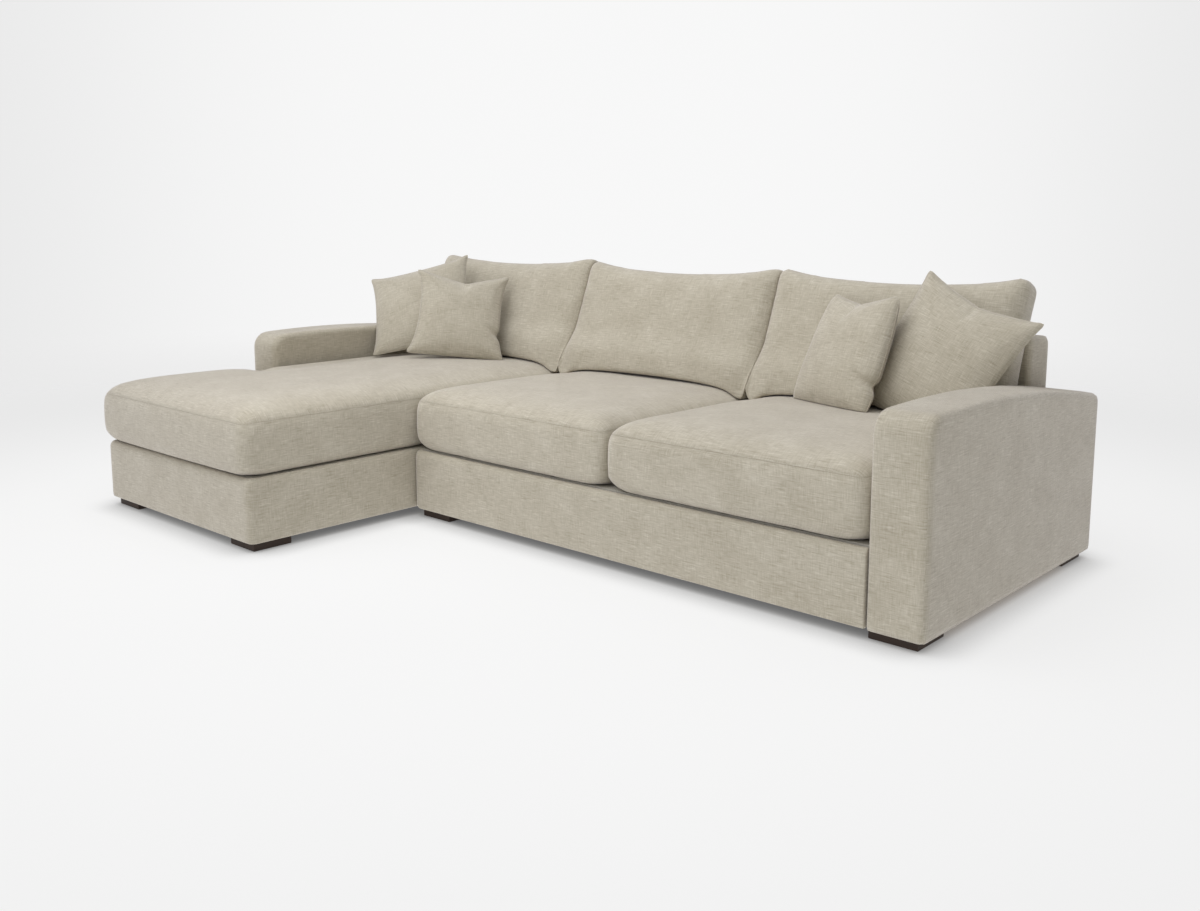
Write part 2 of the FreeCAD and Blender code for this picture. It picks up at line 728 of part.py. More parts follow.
out_x = chaise_left - chaise_overhang
arm_side = chaise_arm_in + side_gap
toe_y = chaise_front - chaise_overhang + front_swell
arm_toe = chaise_arm_front - side_gap
plan = [V(out_x, toe_y, 0), V(-cushion_gap, toe_y, 0), V(-cushion_gap, rear_y, 0)]
plan += [V(arm_side, rear_y, 0), V(arm_side, arm_toe, 0), V(out_x, arm_toe, 0)]
bows = [front_swell, -draw_in, -draw_in, -draw_in, 0.0, -draw_in]
rounds = [cushion_corner] * 6
rounds[4] = cushion_inner_corner
save("chaise_cushion", [seat_shape(plan, rounds, bows, chaise_crown)])

# Back cushions
seat_rest = seat_peak + back_seat_gap
chaise_rest = chaise_peak + back_seat_gap
arm_fall = (arm_peak_height - arm_rear_height) / (sofa_depth - arm_peak_y) ** 2
ledge_y = back_front - (back_height - arm_rear_height) * math.tan(math.radians(back_lean))
ledge_y = ledge_y - back_cushion_thick
ledge_z = arm_peak_height - arm_fall * (ledge_y - arm_peak_y) ** 2 + arm_ledge_gap
ledge = (chaise_arm_in + side_gap, ledge_z, 2.0 * arm_fall * (ledge_y - arm_peak_y))
far_left = chaise_arm_in - arm_ledge_overlap
save("back_cushion_left", [back_shape(far_left, -cushion_gap, ledge, chaise_rest)])
save("back_cushion_middle", [back_shape(cushion_gap, seat_split - cushion_gap, None, seat_rest)])
save("back_cushion_right", [back_shape(seat_split + cushion_gap, right_x, None, seat_rest)])


# Scatter cushions
def scatter(name, side, half, place, tuck, inner_face, toward, crown_z):
    across, out, up, turn, lean, roll = place
    centre = V(inner_face + toward * across, back_front - out, crown_z + up)
    save(name, [scatter_shape(side, half, centre, turn, lean, roll, tuck)])


small = (small_side, small_half)
large = (large_side, large_half)
scatter("scatter_small_left", *small, small_left_place, no_tuck, cn, 1.0, chaise_peak)
scatter("scatter_large_left", *large, large_left_place, no_tuck, cn, 1.0, chaise_peak)
scatter("scatter_small_right", *small, small_right_place, no_tuck, seat_run, -1.0, seat_peak)
scatter("scatter_large_right", *large, large_right_place, large_right_tuck, seat_run, -1.0, seat_peak)
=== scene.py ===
import math
from functools import partial

import bmesh
import bpy
import numpy as np
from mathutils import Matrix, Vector
from mathutils.bvhtree import BVHTree


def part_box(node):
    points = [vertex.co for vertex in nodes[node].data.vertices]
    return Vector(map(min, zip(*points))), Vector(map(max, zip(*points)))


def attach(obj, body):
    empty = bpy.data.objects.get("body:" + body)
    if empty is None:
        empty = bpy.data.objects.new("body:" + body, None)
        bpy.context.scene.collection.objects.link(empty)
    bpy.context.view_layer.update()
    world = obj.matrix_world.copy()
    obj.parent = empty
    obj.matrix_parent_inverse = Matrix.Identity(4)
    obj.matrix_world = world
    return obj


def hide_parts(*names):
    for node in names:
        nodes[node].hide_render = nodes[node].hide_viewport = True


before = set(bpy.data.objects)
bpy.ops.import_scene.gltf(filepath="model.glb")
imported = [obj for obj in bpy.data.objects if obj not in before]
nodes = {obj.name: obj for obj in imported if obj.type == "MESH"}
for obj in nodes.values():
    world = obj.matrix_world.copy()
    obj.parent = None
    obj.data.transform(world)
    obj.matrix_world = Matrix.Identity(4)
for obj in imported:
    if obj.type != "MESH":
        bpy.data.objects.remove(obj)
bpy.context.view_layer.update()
scene = bpy.context.scene

# Camera, at the photograph's viewing angle
CAMERA_PLACE = (2.89454, -2.93328, 1.15671)
CAMERA_TURN = math.radians(42.37)
CAMERA_DIP = math.radians(8.5)
camera_data = bpy.data.cameras.new("camera")
camera_data.sensor_width = 36.0
camera_data.lens = 34.565
camera_data.shift_y = -0.0608
camera = bpy.data.objects.new("camera", camera_data)
scene.collection.objects.link(camera)
camera.location = CAMERA_PLACE
camera.rotation_euler = (math.radians(90.0) - CAMERA_DIP, 0.0, CAMERA_TURN)
scene.camera = camera


# Node helpers
def feed(node, inputs):
    """Links sockets to a node's inputs, and sets plain values on them."""
    for key, value in inputs.items():
        if isinstance(value, bpy.types.NodeSocket):
            node.id_data.links.new(value, node.inputs[key])
        else:
            node.inputs[key].default_value = value
    return node


def add(tree, kind, inputs=None, **settings):
    node = tree.nodes.new(kind)
    for key, value in settings.items():
        setattr(node, key, value)
    return feed(node, inputs or {})


def math_node(tree, operation, *values):
    return add(tree, "ShaderNodeMath", dict(enumerate(values)), operation=operation).outputs[0]


def vector_node(tree, operation, *values):
    return add(tree, "ShaderNodeVectorMath", dict(enumerate(values)), operation=operation)


def weighted(tree, *pairs):
    """The sum of some values, each times its weight."""
    total = None
    for value, weight in pairs:
        part = math_node(tree, "MULTIPLY", value, weight)
        total = part if total is None else math_node(tree, "ADD", total, part)
    return total


def mix_colour(tree, factor, a, b):
    return add(tree, "ShaderNodeMix", {0: factor, 6: a, 7: b}, data_type="RGBA").outputs[2]


def map_range(tree, value, start, end, first=0.0, last=1.0, smooth=False):
    """Turns start to end into first to last, and keeps to these past the ends."""
    inputs = {"Value": value, "From Min": start, "From Max": end, "To Min": first, "To Max": last}
    kind = "SMOOTHSTEP" if smooth else "LINEAR"
    return add(tree, "ShaderNodeMapRange", inputs, interpolation_type=kind, clamp=True).outputs[0]


def stretched_noise(tree, vector, stretch, detail, roughness):
    place = add(tree, "ShaderNodeMapping", {"Vector": vector, "Scale": stretch}).outputs[0]
    inputs = {"Vector": place, "Scale": 1.0, "Detail": detail, "Roughness": roughness}
    return add(tree, "ShaderNodeTexNoise", inputs).outputs["Fac"]


def new_group(name, inputs, outputs):
    group = bpy.data.node_groups.new(name, "ShaderNodeTree")
    for label, kind, value in inputs:
        socket = group.interface.new_socket(label, in_out="INPUT", socket_type=kind)
        if value is not None:
            socket.default_value = value
    for label, kind in outputs:
        group.interface.new_socket(label, in_out="OUTPUT", socket_type=kind)
    return group, group.nodes.new("NodeGroupInput"), group.nodes.new("NodeGroupOutput")


def new_material(name):
    material = bpy.data.materials.new(name)
    material.use_nodes = True
    return material, material.node_tree, material.node_tree.nodes["Principled BSDF"]


def raise_surface(tree, shader, height, strength, distance):
    inputs = {"Height": height, "Strength": strength, "Distance": distance}
    feed(shader, {"Normal": add(tree, "ShaderNodeBump", inputs).outputs[0]})


def seen_directly(tree):
    """1 for what the camera sees, itself or in a shiny surface."""
    path = add(tree, "ShaderNodeLightPath")
    return math_node(tree, "MAXIMUM", path.outputs["Is Camera Ray"], path.outputs["Is Glossy Ray"]), path


# Linen
def thick_threads(tree, noise):
    """Light dashes above the middle of a noise, dark ones below it."""
    light = map_range(tree, noise, 0.56, 0.72, smooth=True)
    dark = map_range(tree, noise, 0.44, 0.30, smooth=True)
    return math_node(tree, "SUBTRACT", light, dark)


def linen_weave_group():
    """Plain weave with fine threads both ways, thick slubs and slow patches of tone."""
    group, start, end = new_group(
        "linen_weave",
        [
            ("Cloth", "NodeSocketVector", None),
            ("Deep", "NodeSocketColor", (0.3, 0.27, 0.2, 1.0)),
            ("Thread", "NodeSocketColor", (0.45, 0.41, 0.33, 1.0)),
            ("Slub", "NodeSocketColor", (0.6, 0.56, 0.47, 1.0)),
            ("Pitch", "NodeSocketFloat", 0.0011),
        ],
        [("Color", "NodeSocketColor"), ("Height", "NodeSocketFloat"), ("Roughness", "NodeSocketFloat")],
    )
    cloth, pitch = start.outputs["Cloth"], start.outputs["Pitch"]
    noise = partial(stretched_noise, group, cloth)
    calc = partial(math_node, group)

    weft = noise((32.0, 430.0, 1.0), 3.0, 0.6)
    warp = noise((430.0, 32.0, 1.0), 3.0, 0.6)
    weft_slubs = thick_threads(group, noise((18.0, 250.0, 3.0), 2.0, 0.45))
    warp_slubs = thick_threads(group, noise((250.0, 20.0, 3.0), 2.0, 0.45))
    patch = noise((8.0, 8.0, 1.0), 2.0, 0.5)
    fine = weighted(group, (weft, 1.15), (warp, 0.85))
    tone = weighted(group, (fine, 0.66), (weft_slubs, 0.18), (warp_slubs, 0.10), (patch, 0.34))

    # Each thread goes over one and under the next
    split = add(group, "ShaderNodeSeparateXYZ", {0: cloth})
    across, along = (calc("DIVIDE", split.outputs[axis], pitch) for axis in (0, 1))
    round_across, round_along = (
        calc("ABSOLUTE", calc("SINE", calc("MULTIPLY", way, math.pi))) for way in (across, along)
    )
    over = calc("PINGPONG", calc("ADD", calc("FLOOR", across), calc("FLOOR", along)), 1.0)
    thread = calc("ADD", calc("MULTIPLY", round_across, over),
                  calc("MULTIPLY", round_along, calc("SUBTRACT", 1.0, over)))

    level = map_range(group, tone, 0.58, 1.12)
    twice = calc("MULTIPLY", level, 2.0)
    lower, upper = calc("MINIMUM", twice, 1.0), calc("MAXIMUM", calc("SUBTRACT", twice, 1.0), 0.0)
    colour = mix_colour(group, lower, start.outputs["Deep"], start.outputs["Thread"])
    feed(end, {
        "Color": mix_colour(group, upper, colour, start.outputs["Slub"]),
        "Height": weighted(group, (thread, 0.45), (tone, 0.75)),
        "Roughness": calc("SUBTRACT", 0.96, calc("MULTIPLY", level, 0.12)),
    })
    return group


LINEN = linen_weave_group()
# How dark the painted shade along seams and rims is, as a share of the deep tone
SEAM_SHADE_DARKNESS = 0.45


def linen(name, deep, thread, slub):
    material, tree, shader = new_material(name)
    cloth = add(tree, "ShaderNodeUVMap", uv_map="cloth").outputs[0]
    inputs = {"Cloth": cloth, "Deep": deep, "Thread": thread, "Slub": slub}
    weave = add(tree, "ShaderNodeGroup", inputs, node_tree=LINEN)
    # Painted shade: along seams and rims the colour is mixed towards a darker copy of the deep tone, by the
    # per-point seam attribute
    shade = add(tree, "ShaderNodeAttribute", attribute_name="painted_seam_shade").outputs["Fac"]
    painted_shade_colour = (*(part * SEAM_SHADE_DARKNESS for part in deep[:3]), 1.0)
    feed(shader, {
        "Base Color": mix_colour(tree, shade, weave.outputs["Color"], painted_shade_colour),
        "Roughness": weave.outputs["Roughness"],
        "Specular IOR Level": 0.25,
        "Sheen Weight": 0.46,
        "Sheen Roughness": 0.45,
        "Sheen Tint": (0.98, 0.94, 1.0, 1.0),
    })
    raise_surface(tree, shader, weave.outputs["Height"], 0.25, 0.0008)
    return material


CUSHION_TONES = (0.385, 0.345, 0.27, 1.0), (0.485, 0.445, 0.36, 1.0), (0.60, 0.56, 0.475, 1.0)
FRAME_TONES = (0.375, 0.335, 0.26, 1.0), (0.475, 0.435, 0.35, 1.0), (0.59, 0.55, 0.465, 1.0)
SEAM_TONES = (0.26, 0.23, 0.17, 1.0), (0.35, 0.31, 0.24, 1.0), (0.45, 0.41, 0.33, 1.0)
CUSHION_LINEN = linen("cushion_linen", *CUSHION_TONES)
SCATTER_LINEN = linen("scatter_linen", *CUSHION_TONES)
FRAME_LINEN = linen("frame_linen", *FRAME_TONES)
SEAM_THREAD = linen("seam_linen", *SEAM_TONES)


# Wood, webbing, felt and steel of the frame
def plain(name, dark, light, stretch, roughness, metallic=0.0, bump=0.1, distance=0.0005):
    material, tree, shader = new_material(name)
    place = add(tree, "ShaderNodeTexCoord").outputs["Object"]
    grain = stretched_noise(tree, place, stretch, 4.0, 0.6)
    fleck = stretched_noise(tree, place, tuple(5.0 * part for part in stretch), 2.0, 0.5)
    tone = math_node(tree, "SUBTRACT", weighted(tree, (grain, 1.6), (fleck, 0.5)), 0.55)
    feed(shader, {
        "Base Color": mix_colour(tree, map_range(tree, tone, 0.0, 1.0), dark, light),
        "Roughness": math_node(tree, "ADD", math_node(tree, "MULTIPLY", grain, 0.15), roughness - 0.07),
        "Metallic": metallic,
    })
    raise_surface(tree, shader, grain, bump, distance)
    return material


DARK_WOOD = plain("dark_stained_wood", (0.014, 0.0062, 0.0028, 1.0), (0.042, 0.020, 0.010, 1.0),
                  (9.0, 60.0, 60.0), 0.62, bump=0.2)
TIMBER = plain("planed_softwood", (0.46, 0.31, 0.17, 1.0), (0.66, 0.49, 0.30, 1.0), (4.0, 4.0, 40.0), 0.62)
WEBBING = plain("elastic_webbing", (0.22, 0.17, 0.10, 1.0), (0.42, 0.34, 0.22, 1.0),
                (220.0, 220.0, 40.0), 0.85, bump=0.4)
FELT = plain("deck_felt", (0.47, 0.45, 0.40, 1.0), (0.60, 0.58, 0.53, 1.0),
             (60.0, 60.0, 60.0), 0.95, bump=0.4, distance=0.001)
DUST = plain("dust_cloth", (0.012, 0.012, 0.012, 1.0), (0.03, 0.03, 0.03, 1.0),
             (160.0, 160.0, 160.0), 0.95, bump=0.5)
STEEL = plain("zinc_steel", (0.42, 0.42, 0.40, 1.0), (0.62, 0.62, 0.60, 1.0),
              (50.0, 200.0, 200.0), 0.38, metallic=1.0)
FRAME_FINISHES = {"bolts": STEEL, "feet": DARK_WOOD, "webbing": WEBBING, "deck": FELT, "dust_cover": DUST}

for name, node in nodes.items():
    finish = next((finish for word, finish in FRAME_FINISHES.items() if word in name), TIMBER)
    node.data.materials.clear()
    node.data.materials.append(finish)


# Mesh helpers
WELD_DISTANCE = 0.00002


def pick(obj):
    bpy.ops.object.select_all(action="DESELECT")
    obj.select_set(True)
    bpy.context.view_layer.objects.active = obj


def welded(node_names):
    """A free copy of some solids of the frame, welded to one mesh."""
    form = bmesh.new()
    for node in node_names:
        form.from_mesh(nodes[node].data)
    bmesh.ops.remove_doubles(form, verts=form.verts, dist=WELD_DISTANCE)
    return form


def new_object(name, form):
    mesh = bpy.data.meshes.new(name)
    form.to_mesh(mesh)
    form.free()
    obj = bpy.data.objects.new(name, mesh)
    scene.collection.objects.link(obj)
    return obj


def hull_of(name, node):
    """The filled outer form of a convex cover."""
    form = welded([node])
    made = bmesh.ops.convex_hull(form, input=form.verts, use_existing_faces=False)
    unused = made["geom_interior"] + made["geom_unused"]
    inner = list({part for part in unused if isinstance(part, bmesh.types.BMVert)})
    bmesh.ops.delete(form, geom=inner, context="VERTS")
    bmesh.ops.recalc_face_normals(form, faces=form.faces)
    return new_object(name, form)


def apply_modifier(obj, kind, **settings):
    modifier = obj.modifiers.new(kind.lower(), kind)
    for key, value in settings.items():
        setattr(modifier, key, value)
    pick(obj)
    bpy.ops.object.modifier_apply(modifier=modifier.name)


def softened(obj, voxel, rounds):
    """Even small faces all over, with rounded edges."""
    apply_modifier(obj, "REMESH", mode="VOXEL", voxel_size=voxel)
    apply_modifier(obj, "SMOOTH", factor=0.5, iterations=rounds)


def points_of(obj):
    points = np.zeros(len(obj.data.vertices) * 3)
    obj.data.vertices.foreach_get("co", points)
    return points.reshape(-1, 3)


def place_points(obj, points):
    obj.data.vertices.foreach_set("co", points.ravel())
    obj.data.update()


def fitted(points, low, high, axes=(0, 1, 2)):
    """Brings smoothed cloth back to the full size of what it covers."""
    for axis in axes:
        least, most = points[:, axis].min(), points[:, axis].max()
        points[:, axis] = low[axis] + (points[:, axis] - least) * (high[axis] - low[axis]) / (most - least)
    return points


def box_of(node_names):
    """The box round several nodes."""
    boxes = [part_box(node) for node in node_names]
    low = [min(box[0][axis] for box in boxes) for axis in range(3)]
    high = [max(box[1][axis] for box in boxes) for axis in range(3)]
    return low, high


def smooth_step(low, high, value):
    share = np.clip((value - low) / (high - low), 0.0, 1.0)
    return share * share * (3.0 - 2.0 * share)


def fade_out(low, high, value):
    return 1.0 - smooth_step(low, high, value)


def bump_at(value, middle, width):
    return np.exp(-(((value - middle) / width) ** 2))


def tree_of(obj):
    corners = [v.co.copy() for v in obj.data.vertices]
    return BVHTree.FromPolygons(corners, [tuple(p.vertices) for p in obj.data.polygons])


SWELL_STEPS = 20


def swell(obj, pressure, cap, stiffness=15.0, bending=0.5, slack=0.0):
    """Fills the cloth with pressure, without gravity, and keeps how far a point moves under the cap."""
    start = points_of(obj)
    cloth = obj.modifiers.new("filling", "CLOTH")
    settings = cloth.settings
    settings.quality = 4
    settings.mass = 0.3
    settings.tension_stiffness = stiffness
    settings.compression_stiffness = stiffness
    settings.shear_stiffness = stiffness * 0.4
    settings.bending_stiffness = bending
    settings.use_pressure = True
    settings.uniform_pressure_force = pressure
    settings.shrink_min = -slack
    settings.effector_weights.gravity = 0.0
    cloth.collision_settings.use_collision = False
    cloth.point_cache.frame_start = 1
    cloth.point_cache.frame_end = SWELL_STEPS
    for step in range(1, SWELL_STEPS + 1):
        scene.frame_set(step)
    view = bpy.context.evaluated_depsgraph_get()
    mesh = obj.evaluated_get(view).to_mesh()
    moved = np.zeros(len(mesh.vertices) * 3)
    mesh.vertices.foreach_get("co", moved)
    moved = moved.reshape(-1, 3)
    obj.evaluated_get(view).to_mesh_clear()
    obj.modifiers.remove(cloth)
    scene.frame_set(1)
    way = moved - start
    length = np.linalg.norm(way, axis=1, keepdims=True)
    way *= cap * np.tanh(length / cap) / np.maximum(length, 1e-9)
    place_points(obj, start + way)


def pressed(points, axis, low=None, high=None, soft=0.004):
    """Flattens the cloth against its neighbours' planes, softly over the last millimetres."""
    for plane, way in ((high, 1.0), (low, -1.0)):
        if plane is None:
            continue
        over = way * (points[:, axis] - plane) + soft
        flat = plane + way * soft * (np.tanh(np.maximum(over, 0.0) / soft) - 1.0)
        points[:, axis] = np.where(over > 0.0, flat, points[:, axis])


def settled(points, trees, margin=0.0015, reach=0.045):
    """Moves each point of the cloth that sinks into a neighbour back out to its surface."""
    for tree in trees:
        for i, point in enumerate(points):
            spot = Vector(point)
            near, normal = tree.find_nearest(spot, reach)[:2]
            if near is not None and (spot - near).dot(normal) < margin:
                points[i] = near + normal * margin


def lay_cloth(obj, panel_of):
    """Writes the cloth's own coordinates in metres; panel_of gives two coordinates per corner of a face."""
    mesh = obj.data
    count = len(mesh.polygons)
    normal, centre = np.zeros(count * 3), np.zeros(count * 3)
    total = np.zeros(count, dtype=np.int32)
    mesh.polygons.foreach_get("normal", normal)
    mesh.polygons.foreach_get("center", centre)
    mesh.polygons.foreach_get("loop_total", total)
    face = np.repeat(np.arange(count), total)
    corner = np.zeros(len(mesh.loops), dtype=np.int32)
    mesh.loops.foreach_get("vertex_index", corner)
    uv = panel_of(points_of(obj)[corner], normal.reshape(-1, 3)[face], centre.reshape(-1, 3)[face])
    layer = mesh.uv_layers.get("cloth") or mesh.uv_layers.new(name="cloth")
    layer.data.foreach_set("uv", uv.astype(np.float32).ravel())


# Stores how much painted shade each point gets by its seam, 0 to 1, for the linen to mix into its colour
def paint_seam_shade(obj, values):
    layer = obj.data.attributes.get("painted_seam_shade") or obj.data.attributes.new("painted_seam_shade", "FLOAT", "POINT")
    layer.data.foreach_set("value", np.asarray(values, dtype=np.float32))


def coat(obj, material):
    obj.data.materials.clear()
    obj.data.materials.append(material)
    obj.data.polygons.foreach_set("use_smooth", [True] * len(obj.data.polygons))


def finished(obj, material, body, stands_for):
    coat(obj, material)
    # Cloth without a seam gets no painted shade
    if "painted_seam_shade" not in obj.data.attributes:
        paint_seam_shade(obj, np.zeros(len(obj.data.vertices)))
    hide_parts(*stands_for)
    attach(obj, body)
    return obj


# Upholstery of the frame
def two_ways(first, a, b, c, d):
    """Cloth coordinates a, b where the first holds, and c, d elsewhere."""
    return np.stack([np.where(first, a, c), np.where(first, b, d)], 1)


def base_panel(front_y, middle_x):
    """Cloth that runs round the sides of a base and lies flat on top."""

    def panel(points, normal, centre):
        x, y, z = points.T
        side = np.where(centre[:, 0] > middle_x, 1.0, -1.0)
        return two_ways(np.abs(normal[:, 2]) > 0.72, x, y, x + side * (y - front_y), z)

    return panel


def arm_panel(front_y):
    """Cloth that runs over the front and top of an arm, with flat sides."""

    def panel(points, normal, centre):
        x, y, z = points.T
        top = np.abs(normal[:, 2]) > np.abs(normal[:, 1])
        along = np.where(top, z.max() + (y - front_y), z)
        return two_ways(np.abs(normal[:, 0]) > 0.7, y, z, x, along)

    return panel


def back_panel(points, normal, centre):
    x, y, z = points.T
    top = np.abs(normal[:, 2]) > 0.7
    end = np.abs(normal[:, 0]) > 0.7
    return np.stack([np.where(end, y, x), np.where(top & ~end, y, z)], 1)


def frame_piece(obj, panel, node_names):
    lay_cloth(obj, panel)
    return finished(obj, FRAME_LINEN, "sofa_frame", node_names)


ARM_PUSH = 0.011
ARM_PUSH_REACH = (0.05, 0.014)


def base_cover(name, node_names, meets=None):
    """The padded borders of a seat box; meets is the plane of the arm that they run up to."""
    low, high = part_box(node_names[0])
    obj = new_object(name, welded(node_names))
    softened(obj, voxel=0.011, rounds=3)
    points = fitted(points_of(obj), *box_of(node_names))
    if meets is not None:
        start, end = (meets - reach for reach in ARM_PUSH_REACH)
        points[:, 0] += ARM_PUSH * smooth_step(start, end, points[:, 0])
        pressed(points, 0, high=meets, soft=0.0015)
    place_points(obj, points)
    apply_modifier(obj, "SUBSURF", levels=1, render_levels=1)
    return frame_piece(obj, base_panel(low.y, (low.x + high.x) / 2.0), node_names)


PADDING_WALL = 0.008
HEM_REACH = 0.025
ARM_GAP = 0.0006


def open_below(obj, foot):
    """Opens the underside of a filled form and gives the cloth its padding's thickness."""
    form = bmesh.new()
    form.from_mesh(obj.data)
    under = [f for f in form.faces if f.normal.z < -0.6 and f.calc_center_median().z < foot + HEM_REACH]
    bmesh.ops.delete(form, geom=under, context="FACES")
    for v in form.verts:
        if v.is_boundary:
            v.co.z = foot
    form.to_mesh(obj.data)
    form.free()
    apply_modifier(obj, "SOLIDIFY", thickness=PADDING_WALL, offset=-1.0)


def open_cover(name, node, voxel, rounds, panel):
    """A cloth cover over a filled form, open at the floor, where the frame's rails pass."""
    obj = hull_of(name, node)
    softened(obj, voxel, rounds)
    low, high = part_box(node)
    place_points(obj, fitted(points_of(obj), low, high))
    open_below(obj, low.z)
    return frame_piece(obj, panel, [node])


base_cover("chaise_base_cover", ["chaise_border_front", "chaise_border_left", "chaise_border_right"])
base_cover("sofa_base_cover", ["sofa_border_front", "sofa_border_left"],
           meets=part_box("sofa_arm_cover")[0].x - ARM_GAP)
for section in ("chaise", "sofa"):
    arm_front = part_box(section + "_arm_cover")[0].y
    open_cover(section + "_arm_linen", section + "_arm_cover", 0.0095, 3, arm_panel(arm_front))
    open_cover(section + "_back_linen", section + "_back_cover", 0.0105, 2, back_panel)

ARM_TREES = [tree_of(nodes[section + "_arm_cover"]) for section in ("chaise", "sofa")]
BACK_TREES = [tree_of(nodes[section + "_back_cover"]) for section in ("chaise", "sofa")]


# Seams
def seam_ridge(name, path, radius, material, body):
    """A sewn seam: a thin closed ridge through the given places."""
    curve = bpy.data.curves.new(name, "CURVE")
    curve.dimensions = "3D"
    curve.bevel_depth = radius
    curve.bevel_resolution = 1
    spline = curve.splines.new("POLY")
    spline.points.add(len(path) - 1)
    for point, place in zip(spline.points, path):
        point.co = (*place, 1.0)
    spline.use_cyclic_u = True
    ridge = bpy.data.objects.new(name, curve)
    scene.collection.objects.link(ridge)
    pick(ridge)
    bpy.ops.object.convert(target="MESH")
    ridge = bpy.context.object
    lay_cloth(ridge, lambda points, normal, centre: np.stack([points[:, 0] + points[:, 1], points[:, 2]], 1))
    coat(ridge, material)
    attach(ridge, body)
    return ridge


def on_surface(obj, path, sunk):
    """The same places, moved onto a cushion and sunk into it a little."""
    tree = tree_of(obj)
    found = [tree.find_nearest(Vector(place))[:2] for place in path]
    return [near - normal * sunk for near, normal in found]


def seam_loop(corners, z, step=0.012, rounds=10):
    """Points round an outline at one height, with its corners rounded."""
    points = []
    for i, here in enumerate(corners):
        there = corners[(i + 1) % len(corners)]
        count = max(1, int(math.dist(here, there) / step))
        points += [[a + (b - a) * k / count for a, b in zip(here, there)] for k in range(count)]
    points = np.array(points)
    for _ in range(rounds):
        points = (np.roll(points, 1, 0) + 2.0 * points + np.roll(points, -1, 0)) / 4.0
    return [(x, y, z) for x, y in points]


# Seat cushions. Arm and back faces are as measured; less SOFA_MIDDLE they are in the frame's own metres
SOFA_MIDDLE = np.array([0.524, 0.2425, 0.0])
ARM_FACES = (-0.862, 1.930)
ARM_FRONT = -0.042
BACK_FACE = 1.040
LEFT_FACE = ARM_FACES[0] - SOFA_MIDDLE[0]
LEFT_FRONT = ARM_FRONT - SOFA_MIDDLE[1]
SEAT_SEAM = 0.4503
SEAM_INSET = 0.010
SEAM_RADIUS = 0.0009
SEAM_SUNK = 0.0003
SEAT_FILL = 3.5
SEAT_CAP = 0.009

# How far each change of the filled form goes, and over what length it fades
CORNER_LIFT = 0.016
LIFT_REACH = 0.11
LIFT_HEIGHT = 0.10
REAR_DIP = 0.013
DIP_REACH = (0.52, 0.24)
ARM_FILL = 0.90
ARM_FILL_REACH = (0.015, 0.16)
ARM_FILL_DROP = 0.006
SEAT_MARGIN = 0.0010


def seat_panel(front_y, middle_x):
    def panel(points, normal, centre):
        x, y, z = points.T
        side = np.where(centre[:, 0] > middle_x, 1.0, -1.0)
        top = (centre[:, 2] > SEAT_SEAM) | (normal[:, 2] < -0.8)
        return two_ways(top, x, y, x + side * (y - front_y), z)

    return panel


def seat_outline(low, high, beside_arm):
    """The cushion's outline from above; the chaise one steps in beside the arm."""
    x0, y0, x1, y1 = low.x + SEAM_INSET, low.y + SEAM_INSET, high.x - SEAM_INSET, high.y - SEAM_INSET
    if not beside_arm:
        return [(x0, y0), (x1, y0), (x1, y1), (x0, y1)]
    step_x, step_y = LEFT_FACE + SEAM_INSET, LEFT_FRONT - SEAM_INSET
    return [(x0, y0), (x1, y0), (x1, y1), (step_x, y1), (step_x, step_y), (x0, step_y)]


def seat_cushion(node, voxel):
    low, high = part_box(node)
    beside_arm = node == "chaise_cushion"
    obj = new_object(node + "_linen", welded([node]))
    softened(obj, voxel, rounds=3)
    swell(obj, SEAT_FILL, SEAT_CAP, slack=0.01)
    points = fitted(points_of(obj), low, high, (0, 1))
    x, y, z = points.T

    # The front corners lift off the base where the filling doesn't reach
    front = fade_out(low.y, low.y + LIFT_REACH, y)
    ends = np.maximum(fade_out(low.x, low.x + LIFT_REACH, x), smooth_step(high.x - LIFT_REACH, high.x, x))
    points[:, 2] += CORNER_LIFT * front * ends * fade_out(low.z, low.z + LIFT_HEIGHT, z)

    # The back cushions press the rear part down a little
    crest = z.max()
    rear = smooth_step(high.y - DIP_REACH[0], high.y - DIP_REACH[1], y)
    rear *= smooth_step(SEAT_SEAM - 0.06, SEAT_SEAM + 0.02, z)
    points[:, 2] -= REAR_DIP * rear

    # Beside the arm the filling is pushed up level
    if beside_arm:
        near = smooth_step(LEFT_FACE - 0.03, LEFT_FACE, x)
        near *= fade_out(LEFT_FACE + ARM_FILL_REACH[0], LEFT_FACE + ARM_FILL_REACH[1], x)
        beside = smooth_step(LEFT_FRONT - 0.10, LEFT_FRONT, y)
        beside *= smooth_step(SEAT_SEAM - 0.03, SEAT_SEAM + 0.01, z)
        missing = np.maximum(crest - ARM_FILL_DROP - REAR_DIP * rear - z, 0.0)
        points[:, 2] += ARM_FILL * near * beside * missing

    # Flat against the neighbours, the back and the deck
    if not beside_arm:
        pressed(points, 0, low=low.x)
    pressed(points, 0, high=high.x)
    pressed(points, 1, high=high.y)
    pressed(points, 2, low=low.z)
    if beside_arm:
        settled(points, ARM_TREES[:1], SEAT_MARGIN)
    place_points(obj, points)
    apply_modifier(obj, "SUBSURF", levels=1, render_levels=1)
    lay_cloth(obj, seat_panel(low.y, (low.x + high.x) / 2.0))

    seam = on_surface(obj, seam_loop(seat_outline(low, high, beside_arm), SEAT_SEAM), SEAM_SUNK)
    seam_ridge(node + "_seam", seam, SEAM_RADIUS, SEAM_THREAD, node + "_body")
    # Painted shade in a narrow band at the height of the seam
    paint_seam_shade(obj, 0.14 * bump_at(points_of(obj)[:, 2], SEAT_SEAM, 0.007))
    return finished(obj, CUSHION_LINEN, node + "_body", [node])


